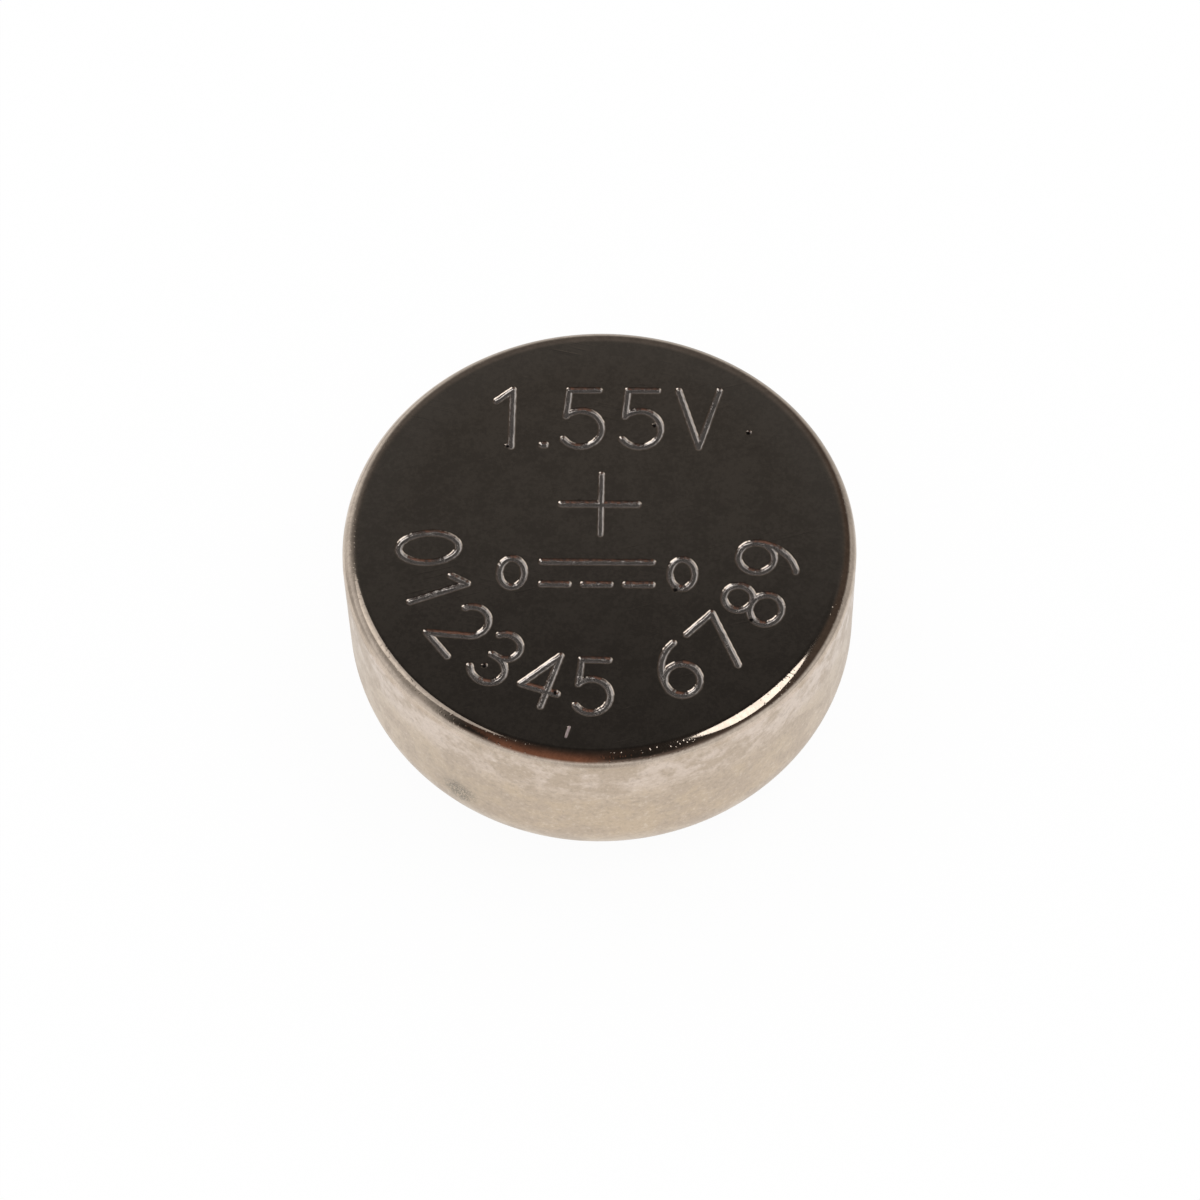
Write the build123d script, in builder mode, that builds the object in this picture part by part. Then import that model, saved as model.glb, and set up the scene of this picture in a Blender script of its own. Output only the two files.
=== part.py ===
"""Silver oxide button cell: a round, crimped battery 7.9 mm across and 3.6 mm high.

The cell stands on its negative contact with the positive face up. The origin is the centre of
the negative contact, +Z points to the positive face, and all lengths are in millimetres.

From the top down it holds: the drawn positive can; the silver oxide cathode pellet with its
support ring; the barrier film; the absorbent disc; the zinc anode; the stepped negative cap; and
the J-section sealing gasket that the can's lip is crimped over.

Every piece is turned about the Z axis. The can's wall, the gasket and the cap's shoulder are
nested round one crimp, so they are drawn as parallel lines at set depths inside the can or the
cap, and seat on each other face to face.
"""

import os
from math import cos, radians, sin

from build123d import *

# Overall size, and how far the negative contact stands below the can's lip
cell_diameter = 7.9
cell_height = 3.6
contact_step = 0.48

# Positive can: one drawn steel cup, its open end rolled inwards over the gasket
can_sheet = 0.18
can_edge_radius = 0.22
crimp_angle = 51.0

# Sealing gasket: wall and rolled lip, channel floor under the cap's rim, collar inside the cap
gasket_wall = 0.25
gasket_floor = 0.20
gasket_collar_wall = 0.14
gasket_collar_lap = 0.25
gasket_lip_overhang = 0.10

# Negative cap: a cup with a wide skirt, a shoulder under the crimp and a narrower neck
cap_sheet = 0.15
cap_shoulder_inner_radius = 0.75
cap_shoulder_slope = 0.20
cap_neck_fillet = 0.12
cap_edge_radius = 0.20

# Cathode pellet, its L-section support ring, and the separators between it and the anode
pellet_height = 0.72
ring_sheet = 0.12
ring_flange = 0.57
ring_leg = 0.40
barrier_thickness = 0.06
absorbent_thickness = 0.18
separator_clearance = 0.05

# The crimp, built up from the cap's shoulder through the gasket to the can
cap_shoulder_radius = cap_shoulder_inner_radius + cap_sheet
crimp_radius = cap_shoulder_radius + gasket_wall + can_sheet
crimp_cos = cos(radians(crimp_angle))
crimp_sin = sin(radians(crimp_angle))

# Radii from the cell's axis, from the outside in
can_radius = cell_diameter / 2
bore_radius = can_radius - can_sheet
separator_radius = bore_radius - separator_clearance
ring_leg_radius = bore_radius - ring_sheet
ring_opening_radius = bore_radius - ring_flange
skirt_radius = bore_radius - gasket_wall
skirt_bore_radius = skirt_radius - cap_sheet
collar_bore_radius = skirt_bore_radius - gasket_collar_wall
shoulder_end_radius = can_radius - crimp_radius + cap_shoulder_radius * crimp_cos
slope_end_radius = shoulder_end_radius - cap_shoulder_slope * crimp_sin
neck_radius = slope_end_radius - cap_neck_fillet * (1 - crimp_cos)
neck_bore_radius = neck_radius - cap_sheet

# Heights above the negative contact, from the positive face down
can_floor_z = cell_height - can_sheet
cathode_z = can_floor_z - pellet_height
ring_flange_z = cathode_z + ring_sheet
ring_top_z = cathode_z + ring_leg
barrier_z = cathode_z - barrier_thickness
absorbent_z = barrier_z - absorbent_thickness
cap_rim_z = absorbent_z - gasket_floor
collar_end_z = cap_rim_z - gasket_collar_lap
crimp_top_z = contact_step + crimp_radius * crimp_sin
shoulder_floor_z = crimp_top_z - cap_shoulder_inner_radius * crimp_sin


def can_wall_lines(depth, start_z):
    """Draw the can's wall and crimp, a depth inside its surface, and return them."""
    wall = Line((can_radius - depth, start_z), (can_radius - depth, crimp_top_z))
    crimp = JernArc(wall @ 1, wall % 1, crimp_radius - depth, -crimp_angle)
    return wall, crimp


def cap_wall_lines(depth, end_z):
    """Draw the cap's skirt, shoulder and neck, a depth inside its surface; return first and last."""
    skirt = Line((skirt_radius - depth, cap_rim_z), (skirt_radius - depth, crimp_top_z))
    shoulder = JernArc(skirt @ 1, skirt % 1, cap_shoulder_radius - depth, -crimp_angle)
    slope = PolarLine(shoulder @ 1, cap_shoulder_slope, direction=shoulder % 1)
    waist = JernArc(slope @ 1, slope % 1, cap_neck_fillet + depth, crimp_angle)
    neck = Line(waist @ 1, (neck_radius - depth, end_z))
    return skirt, neck


# Positive can: the cell's case and positive contact
with BuildPart() as positive_can:
    with BuildSketch(Plane.XZ):
        with BuildLine():
            face = Line((0, cell_height), (can_radius - can_edge_radius, cell_height))
            edge = JernArc(face @ 1, face % 1, can_edge_radius, -90)
            _, outer_crimp = can_wall_lines(0, (edge @ 1).Y)
            bore, inner_crimp = can_wall_lines(can_sheet, can_floor_z)
            Line(outer_crimp @ 1, inner_crimp @ 1)
            Polyline(bore @ 0, (0, can_floor_z), face @ 0)
        make_face()
    revolve(axis=Axis.Z)

# Cathode pellet: pressed into the can, with a rebate that the support ring fills
with BuildPart() as cathode_pellet:
    with BuildSketch(Plane.XZ):
        with BuildLine():
            Polyline(
                (0, can_floor_z),
                (bore_radius, can_floor_z),
                (bore_radius, ring_top_z),
                (ring_leg_radius, ring_top_z),
                (ring_leg_radius, ring_flange_z),
                (ring_opening_radius, ring_flange_z),
                (ring_opening_radius, cathode_z),
                (0, cathode_z),
                close=True,
            )
        make_face()
    revolve(axis=Axis.Z)

# Support ring: stops the gasket from crushing the pellet's edge
with BuildPart() as support_ring:
    with BuildSketch(Plane.XZ):
        with BuildLine():
            Polyline(
                (bore_radius, ring_top_z),
                (bore_radius, cathode_z),
                (ring_opening_radius, cathode_z),
                (ring_opening_radius, ring_flange_z),
                (ring_leg_radius, ring_flange_z),
                (ring_leg_radius, ring_top_z),
                close=True,
            )
        make_face()
    revolve(axis=Axis.Z)

# Barrier film: keeps silver out of the anode
with BuildPart() as barrier_film:
    with BuildSketch(Plane.XY.offset(barrier_z)):
        Circle(separator_radius)
    extrude(amount=barrier_thickness)

# Absorbent disc: holds the electrolyte, its rim pinched between the gasket and the cathode
with BuildPart() as absorbent_disc:
    with BuildSketch(Plane.XY.offset(absorbent_z)):
        Circle(separator_radius)
    extrude(amount=absorbent_thickness)

# Sealing gasket: a J section that wraps the cap's rim and fills the crimp
with BuildPart() as sealing_gasket:
    with BuildSketch(Plane.XZ):
        with BuildLine():
            outer_wall, outer_crimp = can_wall_lines(can_sheet, absorbent_z)
            inner_wall, inner_crimp = can_wall_lines(can_sheet + gasket_wall, cap_rim_z)
            outer_lip = PolarLine(outer_crimp @ 1, gasket_lip_overhang, direction=outer_crimp % 1)
            inner_lip = PolarLine(inner_crimp @ 1, gasket_lip_overhang, direction=inner_crimp % 1)
            Line(outer_lip @ 1, inner_lip @ 1)
            Polyline(
                inner_wall @ 0,
                (skirt_bore_radius, cap_rim_z),
                (skirt_bore_radius, collar_end_z),
                (collar_bore_radius, collar_end_z),
                (collar_bore_radius, absorbent_z),
                outer_wall @ 0,
            )
        make_face()
    revolve(axis=Axis.Z)

# Zinc anode: a gel that fills the cap up to the absorbent disc, save for the shoulder's curve
with BuildPart() as zinc_anode:
    with BuildSketch(Plane.XZ):
        with BuildLine():
            Polyline(
                (0, absorbent_z),
                (collar_bore_radius, absorbent_z),
                (collar_bore_radius, collar_end_z),
                (skirt_bore_radius, collar_end_z),
                (skirt_bore_radius, crimp_top_z),
                (neck_bore_radius, shoulder_floor_z),
                (neck_bore_radius, cap_sheet),
                (0, cap_sheet),
                close=True,
            )
        make_face()
    revolve(axis=Axis.Z)

# Negative cap: the lid of the cell and its negative contact
with BuildPart() as negative_cap:
    with BuildSketch(Plane.XZ):
        with BuildLine():
            outer_skirt, outer_neck = cap_wall_lines(0, cap_edge_radius)
            inner_skirt, inner_neck = cap_wall_lines(cap_sheet, cap_sheet)
            Line(outer_skirt @ 0, inner_skirt @ 0)
            edge = JernArc(outer_neck @ 1, outer_neck % 1, cap_edge_radius, -90)
            Polyline(edge @ 1, (0, 0), (0, cap_sheet), inner_neck @ 1)
        make_face()
    revolve(axis=Axis.Z)

positive_can.part.label = "positive_can"
cathode_pellet.part.label = "cathode_pellet"
support_ring.part.label = "support_ring"
barrier_film.part.label = "barrier_film"
absorbent_disc.part.label = "absorbent_disc"
sealing_gasket.part.label = "sealing_gasket"
zinc_anode.part.label = "zinc_anode"
negative_cap.part.label = "negative_cap"

os.makedirs("parts", exist_ok=True)
export_step(positive_can.part, "parts/positive_can.step")
export_step(cathode_pellet.part, "parts/cathode_pellet.step")
export_step(support_ring.part, "parts/support_ring.step")
export_step(barrier_film.part, "parts/barrier_film.step")
export_step(absorbent_disc.part, "parts/absorbent_disc.step")
export_step(sealing_gasket.part, "parts/sealing_gasket.step")
export_step(zinc_anode.part, "parts/zinc_anode.step")
export_step(negative_cap.part, "parts/negative_cap.step")
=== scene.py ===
"""Looks of a round silver oxide button cell that stands on its negative cap, positive face up.

The turned shells (can, gasket and cap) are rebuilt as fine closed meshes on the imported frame, with
the stamped marks cut into the can's face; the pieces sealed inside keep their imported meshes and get
finishes of their own. Shapes are worked out in millimetres and stored in metres.
"""

import logging
import math
from dataclasses import dataclass, field
from enum import Enum
from typing import Iterable, Optional, Protocol, Sequence, Union

import bpy
import numpy as np
from mathutils import Matrix, Vector
from mathutils.geometry import delaunay_2d_cdt

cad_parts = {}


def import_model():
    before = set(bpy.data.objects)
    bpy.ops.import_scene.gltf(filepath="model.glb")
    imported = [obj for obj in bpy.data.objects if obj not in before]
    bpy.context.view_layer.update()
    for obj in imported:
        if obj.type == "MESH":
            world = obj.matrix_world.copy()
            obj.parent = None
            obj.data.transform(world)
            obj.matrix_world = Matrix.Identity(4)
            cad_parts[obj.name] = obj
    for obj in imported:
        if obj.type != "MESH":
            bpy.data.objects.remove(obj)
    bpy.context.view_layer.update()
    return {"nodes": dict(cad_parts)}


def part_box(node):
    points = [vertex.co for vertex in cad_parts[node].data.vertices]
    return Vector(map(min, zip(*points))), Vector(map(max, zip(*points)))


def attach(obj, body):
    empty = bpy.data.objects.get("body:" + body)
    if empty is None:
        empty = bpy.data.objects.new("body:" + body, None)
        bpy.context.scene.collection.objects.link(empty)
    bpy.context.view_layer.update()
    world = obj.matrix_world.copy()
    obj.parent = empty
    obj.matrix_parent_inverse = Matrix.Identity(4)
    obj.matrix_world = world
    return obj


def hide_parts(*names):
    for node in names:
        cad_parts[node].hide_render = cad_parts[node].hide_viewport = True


LOG = logging.getLogger("button_cell")
MM = 0.001
SEGMENTS = 288
NOTHING = 1e-9  # anything shorter counts as no length at all
FAR = 1e9  # a distance past everything on the cell

Point = tuple[float, float]
Spot = Union[Point, np.ndarray]
Triple = tuple[float, float, float]
Colour = Triple


# ---------------------------------------------------------------- shader maths


class Signal:
    """A number that varies over a surface; arithmetic on it adds Math nodes."""

    def __init__(self, graph: "Graph", socket: bpy.types.NodeSocket) -> None:
        """Wrap a socket of a graph."""
        self.graph = graph
        self.socket = socket

    def __add__(self, other: "Number") -> "Signal":
        """Return self + other."""
        return self.graph.maths("ADD", self, other)

    __radd__ = __add__

    def __sub__(self, other: "Number") -> "Signal":
        """Return self - other."""
        return self.graph.maths("SUBTRACT", self, other)

    def __rsub__(self, other: "Number") -> "Signal":
        """Return other - self."""
        return self.graph.maths("SUBTRACT", other, self)

    def __mul__(self, other: "Number") -> "Signal":
        """Return self x other."""
        return self.graph.maths("MULTIPLY", self, other)

    __rmul__ = __mul__


Number = Union[Signal, float]
Input = Union[Signal, bpy.types.NodeSocket, float, Sequence[float]]


def opaque(colour: Input) -> Input:
    """Return a plain colour with an alpha of one; a link stays as it is."""
    return (*colour, 1.0) if isinstance(colour, tuple) else colour


def shaded(colour: Colour, share: float) -> Colour:
    """Return a colour with each part scaled by a share."""
    return tuple(share * part for part in colour)


class Ray(Enum):
    """The kinds of ray that a shader can tell apart."""

    CAMERA = "Is Camera Ray"
    GLOSSY = "Is Glossy Ray"
    TRANSMISSION = "Is Transmission Ray"


class Graph:
    """A node tree that is filled by short calls."""

    def __init__(self, tree: bpy.types.NodeTree) -> None:
        """Start on an emptied node tree."""
        self.tree = tree
        self.tree.nodes.clear()

    def node(self, kind: str, settings: dict, inputs: dict) -> bpy.types.Node:
        """Add one node.

        Args:
            kind: the node's type name.
            settings: attributes set before anything else; "stops" fills a colour ramp.
            inputs: values or links by socket name or number.

        Returns:
            The new node.
        """
        made = self.tree.nodes.new(kind)
        for name, value in settings.items():
            if name == "stops":
                self._fill_ramp(made.color_ramp, value)
            else:
                setattr(made, name, value)
        for key, value in inputs.items():
            target = made.inputs[key]
            if isinstance(value, Signal):
                self.tree.links.new(value.socket, target)
            elif isinstance(value, bpy.types.NodeSocket):
                self.tree.links.new(value, target)
            else:
                target.default_value = value
        return made

    @staticmethod
    def _fill_ramp(ramp: bpy.types.ColorRamp, stops: Sequence[tuple[float, Colour]]) -> None:
        """Give a colour ramp its stops.

        Args:
            ramp: the ramp to fill.
            stops: positions and colours in rising order.
        """
        while len(ramp.elements) < len(stops):
            ramp.elements.new(1.0)
        for element, (place, colour) in zip(ramp.elements, stops):
            element.position = place
            element.color = opaque(colour)

    def maths(self, operation: str, *values: Number) -> Signal:
        """Return a Math node's result for one, two or three values."""
        made = self.node("ShaderNodeMath", {"operation": operation}, dict(enumerate(values)))
        return Signal(self, made.outputs[0])

    def vector(self, operation: str, *values: Input) -> bpy.types.NodeSocket:
        """Return a Vector Math node's vector result."""
        inputs = dict(enumerate(values))
        return self.node("ShaderNodeVectorMath", {"operation": operation}, inputs).outputs[0]

    def length(self, vector: Input) -> Signal:
        """Return the length of a vector."""
        made = self.node("ShaderNodeVectorMath", {"operation": "LENGTH"}, {0: vector})
        return Signal(self, made.outputs["Value"])

    def blend(self, mask: Number, low: Input, high: Input) -> bpy.types.NodeSocket:
        """Return one colour laid over another.

        Args:
            mask: share of the second colour.
            low: the colour below.
            high: the colour above.

        Returns:
            The mixed colour's socket.
        """
        settings = {"data_type": "RGBA", "blend_type": "MIX", "clamp_factor": True}
        inputs = {0: mask, 6: opaque(low), 7: opaque(high)}
        return self.node("ShaderNodeMix", settings, inputs).outputs[2]

    def layers(self, base: Input, *coats: tuple[Number, Input]) -> Input:
        """Return a colour with others laid over it in turn.

        Args:
            base: the colour at the bottom.
            coats: for each further colour, its mask and the colour itself.

        Returns:
            The colour on top.
        """
        for mask, colour in coats:
            base = self.blend(mask, base, colour)
        return base

    def noise(self, place: Input, scale: float, detail: float = 2.0, rough: float = 0.5) -> Signal:
        """Return a cloud pattern.

        Args:
            place: coordinates in millimetres.
            scale: cells to the millimetre.
            detail: finer layers.
            rough: strength of the finer layers.

        Returns:
            A value near 0.5 that varies over the surface.
        """
        inputs = {"Vector": place, "Scale": scale, "Detail": detail, "Roughness": rough}
        made = self.node("ShaderNodeTexNoise", {"noise_dimensions": "3D"}, inputs)
        return Signal(self, made.outputs[0])

    def cells(self, place: Input, scale: float) -> Signal:
        """Return the distance to scattered points.

        Args:
            place: coordinates in millimetres.
            scale: points to the millimetre.

        Returns:
            The distance, 0 at a point.
        """
        inputs = {"Vector": place, "Scale": scale}
        made = self.node("ShaderNodeTexVoronoi", {"feature": "F1"}, inputs)
        return Signal(self, made.outputs["Distance"])

    def step(self, value: Number, start: float, end: float) -> Signal:
        """Return a smooth rise from 0 to 1.

        Args:
            value: the value that is followed.
            start: where the result leaves 0.
            end: where it reaches 1; it may lie below the start.

        Returns:
            The rise, held at 0 before the start and at 1 past the end.
        """
        settings = {"interpolation_type": "SMOOTHSTEP", "clamp": True}
        inputs = {"Value": value, "From Min": start, "From Max": end}
        return Signal(self, self.node("ShaderNodeMapRange", settings, inputs).outputs[0])

    def spread(self, value: Number, low: float, high: float) -> Signal:
        """Return a 0 to 1 value spread between two numbers."""
        return value * (high - low) + low

    def millimetres(self) -> bpy.types.NodeSocket:
        """Return the surface's own place in millimetres."""
        place = self.node("ShaderNodeTexCoord", {}, {}).outputs["Object"]
        return self.vector("MULTIPLY", place, (1.0 / MM, 1.0 / MM, 1.0 / MM))

    def axes(self, place: Input) -> tuple[Signal, Signal, Signal]:
        """Return the three parts of a vector."""
        made = self.node("ShaderNodeSeparateXYZ", {}, {0: place})
        return tuple(Signal(self, socket) for socket in made.outputs)

    def joined(self, x: Number, y: Number, z: Number = 0.0) -> bpy.types.NodeSocket:
        """Return a vector made of two or three numbers."""
        return self.node("ShaderNodeCombineXYZ", {}, {0: x, 1: y, 2: z}).outputs[0]

    def from_axis(self, x: Number, y: Number) -> Signal:
        """Return the distance from the upright axis."""
        return self.length(self.joined(x, y))

    def arriving(self, ray: Ray) -> Signal:
        """Return 1 where a kind of ray arrives and 0 elsewhere."""
        return Signal(self, self.node("ShaderNodeLightPath", {}, {}).outputs[ray.value])

    def bump(
        self, height: Number, distance: float, strength: float, normal: Optional[Input] = None
    ) -> bpy.types.NodeSocket:
        """Return a normal tipped by a height.

        Args:
            height: the height pattern, 0 to 1.
            distance: metres that a height of 1 stands for.
            strength: share of the effect.
            normal: a normal to start from.

        Returns:
            The tipped normal's socket.
        """
        inputs = {"Height": height, "Distance": distance, "Strength": strength}
        if normal is not None:
            inputs["Normal"] = normal
        return self.node("ShaderNodeBump", {}, inputs).outputs[0]

    def surface(self, inputs: dict) -> None:
        """Close the material with one principled shader."""
        shader = self.node("ShaderNodeBsdfPrincipled", {}, inputs)
        self.node("ShaderNodeOutputMaterial", {}, {"Surface": shader.outputs[0]})


class Finish(Protocol):
    """Anything that can paint a material."""

    def paint(self, graph: Graph) -> None:
        """Fill the graph of the material."""


def new_material(name: str, finish: Finish) -> bpy.types.Material:
    """Make a material and let a finish paint it.

    Args:
        name: the material's name.
        finish: the finish that fills its graph.

    Returns:
        The material.
    """
    made = bpy.data.materials.new(name)
    made.use_nodes = True
    finish.paint(Graph(made.node_tree))
    return made


# ---------------------------------------------------------------- finishes


@dataclass(frozen=True)
class CanNickel:
    """Bright nickel plate on the drawn can: a polished face and a satin, cloudy wall."""

    cell_height: float
    edge_radius: float
    face_radius: float
    pits: tuple[Point, ...]
    face_colour: Colour = (0.640, 0.538, 0.446)
    face_shade: float = 0.80
    face_rough: float = 0.06
    face_relief: float = 0.000002
    # painted shade: the pressed grooves are coloured darker than the face
    groove_shade_colour: Colour = (0.55, 0.50, 0.465)
    marks_rough: float = 0.22
    nick_place: Point = (-0.41, -3.40)
    nick_run: Point = (0.27, 0.96)
    nick_colour: Colour = (0.80, 0.66, 0.66)
    nick_rough: float = 0.42
    soot_colour: Colour = (0.02, 0.017, 0.015)
    wall_colour: Colour = (0.685, 0.570, 0.478)
    wall_rough: float = 0.30
    wall_relief: float = 0.000003
    # painted shade: the colour of the wall's lower part
    lower_shade_colour: Colour = (0.580, 0.460, 0.335)
    cloud_colour: Colour = (0.545, 0.440, 0.340)
    # real wear on the wall's light specks, and a painted sheen on the face's back edge
    wear_and_sheen_colour: Colour = (0.84, 0.75, 0.66)
    stain_colour: Colour = (0.30, 0.25, 0.20)
    smudge_place: Triple = (-2.10, -3.34, 1.65)
    smudge_colour: Colour = (0.17, 0.15, 0.12)

    def paint(self, graph: Graph) -> None:
        """Fill the graph of the can's material.

        Args:
            graph: the material's graph.
        """
        place = graph.millimetres()
        x, y, height = graph.axes(place)
        edge = self.cell_height - self.edge_radius
        on_top = graph.step(height, edge + 0.02, edge + 0.14)
        below = 1.0 - on_top
        pressed = 1.0 - graph.step(height, self.cell_height - 0.009, self.cell_height - 0.001)
        inside = 1.0 - graph.step(graph.from_axis(x, y), self.face_radius, self.face_radius + 0.04)
        wall, wall_rough, wall_relief = self._wall(graph, place)
        face, face_rough, face_relief = self._face(graph, place, pressed * inside)
        relief = graph.bump(wall_relief * below, self.wall_relief, 1.0)
        graph.surface(
            {
                "Base Color": graph.blend(on_top, wall, face),
                "Metallic": 1.0,
                "Roughness": wall_rough * below + face_rough * on_top,
                "Normal": graph.bump(face_relief * on_top, self.face_relief, 1.0, relief),
            }
        )

    def _wall(self, graph: Graph, place: Input) -> tuple[Input, Signal, Signal]:
        """Work out the wall: bright above, with painted shade that makes it browner below, cloudy, with
        fine specks and one smudge.

        Args:
            graph: the material's graph.
            place: the place on the can in mm.

        Returns:
            The wall's colour, roughness and relief.
        """
        drawn = graph.vector("MULTIPLY", place, (1.0, 1.0, 1.15))
        cloud = graph.noise(drawn, 2.2, 3.0, 0.6)
        grain = graph.noise(drawn, 9.0, 4.0, 0.75)
        patch = graph.noise(graph.vector("ADD", place, (3.1, 7.7, 1.3)), 0.7, 2.0, 0.5)
        fleck = graph.noise(place, 30.0, 3.0, 0.7)
        speckle = graph.noise(place, 13.0, 3.0, 0.8)
        mottle = graph.step(cloud * 0.60 + grain * 0.25 + patch * 0.15, 0.42, 0.58)
        _, _, height = graph.axes(place)
        # painted shade: the wall's colour turns darker and browner toward the bottom
        lower = 1.0 - graph.step(height + cloud * 0.9, 2.75, 3.35)
        spot = graph.length(graph.vector("SUBTRACT", place, self.smudge_place))
        smudge = graph.step(spot + grain * 0.40, 0.58, 0.30) * graph.step(fleck, 0.38, 0.56)
        tone = graph.layers(
            self.wall_colour,
            (lower, self.lower_shade_colour),
            (mottle, self.cloud_colour),
            (graph.step(speckle, 0.50, 0.70) * 0.34, self.stain_colour),
            (graph.step(speckle, 0.48, 0.28) * 0.34, self.wear_and_sheen_colour),
            (graph.step(spot, 1.5, 0.2) * 0.14, self.stain_colour),
            (smudge * 0.85, self.smudge_colour),
        )
        rough = graph.spread(mottle, self.wall_rough, self.wall_rough + 0.10)
        return tone, rough, grain * 0.55 + fleck * 0.45

    def _face(self, graph: Graph, place: Input, in_marks: Signal) -> tuple[Input, Signal, Signal]:
        """Work out the face: polished, duller inside the marks and darker there by painted shade, with a
        painted sheen that makes it paler toward the back edge.

        Args:
            graph: the material's graph.
            place: the place on the can in mm.
            in_marks: mask of the stamped marks.

        Returns:
            The face's colour, roughness and relief.
        """
        tint = graph.noise(place, 2.6, 3.0, 0.6) * 0.4 + graph.noise(place, 12.0, 4.0, 0.8) * 0.6
        x, y, _ = graph.axes(place)
        radius = graph.from_axis(x, y)
        # painted sheen: a ring near the face's edge is coloured paler toward the back
        edge = graph.step(radius, 2.90, 3.60) * graph.step(radius, 3.78, 3.68) * graph.step(y, -2.0, 2.5)
        nick = self._nick(graph, place)
        tone = graph.layers(
            self.face_colour,
            (graph.step(tint, 0.41, 0.59), shaded(self.face_colour, self.face_shade)),
            (edge * 0.30, self.wear_and_sheen_colour),
            # painted shade inside the grooves
            (in_marks, self.groove_shade_colour),
            (nick, self.nick_colour),
            (self._soot(graph, place), self.soot_colour),
        )
        rough = graph.spread(in_marks, self.face_rough, self.marks_rough) + nick * self.nick_rough
        pressed_grain = in_marks * graph.noise(place, 12.0, 3.0, 0.7) * 2.4
        relief = pressed_grain + self._rim_flecks(graph, place) + self._hairlines(graph, place)
        return tone, rough, relief

    def _soot(self, graph: Graph, place: Input) -> Signal:
        """Find the dirt that sits in the small pits.

        Args:
            graph: the material's graph.
            place: the place on the can in mm.

        Returns:
            A mask, 1 in the pits.
        """
        ragged = graph.noise(place, 20.0, 2.0, 0.6) * 0.05
        nearest: Number = FAR
        for x, y in self.pits:
            gap = graph.length(graph.vector("SUBTRACT", place, (x, y, self.cell_height)))
            nearest = graph.maths("MINIMUM", nearest, gap)
        return 1.0 - graph.step(nearest + ragged, 0.048, 0.075)

    def _nick(self, graph: Graph, place: Input) -> Signal:
        """Find the one short rubbed nick near the front edge.

        Args:
            graph: the material's graph.
            place: the place on the can in mm.

        Returns:
            A mask, 1 on the nick.
        """
        middle = (*self.nick_place, self.cell_height)
        x, y, height = graph.axes(graph.vector("SUBTRACT", place, middle))
        right, away = self.nick_run
        along = graph.maths("ABSOLUTE", x * right + y * away)
        across = graph.maths("ABSOLUTE", x * away - y * right)
        on_face = graph.step(height, -0.05, -0.03)
        return graph.step(across, 0.028, 0.010) * graph.step(along, 0.125, 0.085) * on_face

    def _hairlines(self, graph: Graph, place: Input) -> Signal:
        """Draw faint polishing lines, strongest at the back, and a few hair scratches across them.

        Args:
            graph: the material's graph.
            place: the place on the can in mm.

        Returns:
            Their relief.
        """
        x, y, _ = graph.axes(place)
        along = x * 0.97 - y * 0.24
        across = x * 0.24 + y * 0.97
        lines = graph.noise(graph.joined(along * 0.35, across * 9.0), 1.6, 3.0, 0.6)
        slanted = graph.joined(along * 0.9 + across * 0.5, across * 14.0 - along * 8.0)
        hairs = graph.noise(slanted, 0.9, 1.0, 0.5)
        back = graph.step(y, 1.6, 3.0) * graph.step(x, 1.6, 0.0)
        patches = graph.step(graph.noise(place, 0.8, 2.0, 0.5), 0.45, 0.62)
        scratches = graph.step(hairs, 0.66, 0.72) * patches
        return graph.step(lines, 0.50, 0.72) * (back * 0.35 + 0.05) * patches + scratches * 0.12

    def _rim_flecks(self, graph: Graph, place: Input) -> Signal:
        """Scatter fine nicks along parts of the rounded rim.

        Args:
            graph: the material's graph.
            place: the place on the can in mm.

        Returns:
            Their relief.
        """
        x, y, _ = graph.axes(place)
        on_rim = graph.step(graph.from_axis(x, y), self.face_radius + 0.06, self.face_radius + 0.10)
        parts = graph.step(graph.noise(place, 0.9, 2.0, 0.5), 0.46, 0.60)
        specks = 1.0 - graph.step(graph.cells(place, 19.0), 0.08, 0.36)
        return specks * parts * on_rim * 0.55


@dataclass(frozen=True)
class CapNickel:
    """Nickel on the negative cap: finer, with faint turning rings and scuffs on the contact."""

    colour: Colour = (0.63, 0.575, 0.51)
    dull_colour: Colour = (0.555, 0.50, 0.44)
    rough: float = 0.24
    relief: float = 0.000004

    def paint(self, graph: Graph) -> None:
        """Fill the graph of the cap's material.

        Args:
            graph: the material's graph.
        """
        place = graph.millimetres()
        x, y, height = graph.axes(place)
        rings = graph.noise(graph.joined(graph.from_axis(x, y), height * 2.0), 16.0, 3.0, 0.7)
        cloud = graph.noise(place, 1.1, 4.0, 0.6)
        fleck = graph.noise(place, 24.0, 2.0, 0.6)
        dull = graph.step(cloud * 0.7 + fleck * 0.3, 0.45, 0.65)
        rubbed = graph.vector("MULTIPLY", place, (7.0, 0.8, 1.0))
        scuff = graph.step(graph.noise(rubbed, 2.2, 3.0, 0.7), 0.60, 0.75)
        graph.surface(
            {
                "Base Color": graph.blend(dull, self.colour, self.dull_colour),
                "Metallic": 1.0,
                "Roughness": dull * 0.10 + scuff * 0.12 + self.rough,
                "Normal": graph.bump(rings * 0.6 + fleck * 0.25 + scuff * 0.15, self.relief, 0.8),
            }
        )


@dataclass(frozen=True)
class GasketNylon:
    """Moulded nylon, milky and a little translucent."""

    colour: Colour = (0.70, 0.72, 0.66)
    shade: Colour = (0.58, 0.60, 0.53)
    relief: float = 0.000004

    def paint(self, graph: Graph) -> None:
        """Fill the graph of the gasket's material.

        Args:
            graph: the material's graph.
        """
        place = graph.millimetres()
        cloud = graph.step(graph.noise(place, 2.0, 4.0, 0.6), 0.3, 0.7)
        fine = graph.noise(place, 30.0, 3.0, 0.6)
        graph.surface(
            {
                "Base Color": graph.blend(cloud, self.colour, self.shade),
                "Roughness": graph.spread(fine, 0.38, 0.56),
                "Subsurface Weight": 0.3,
                "Subsurface Radius": (0.0003, 0.0003, 0.00025),
                "Subsurface Scale": 0.5,
                "IOR": 1.53,
                "Normal": graph.bump(fine, self.relief, 0.7),
            }
        )


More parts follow.
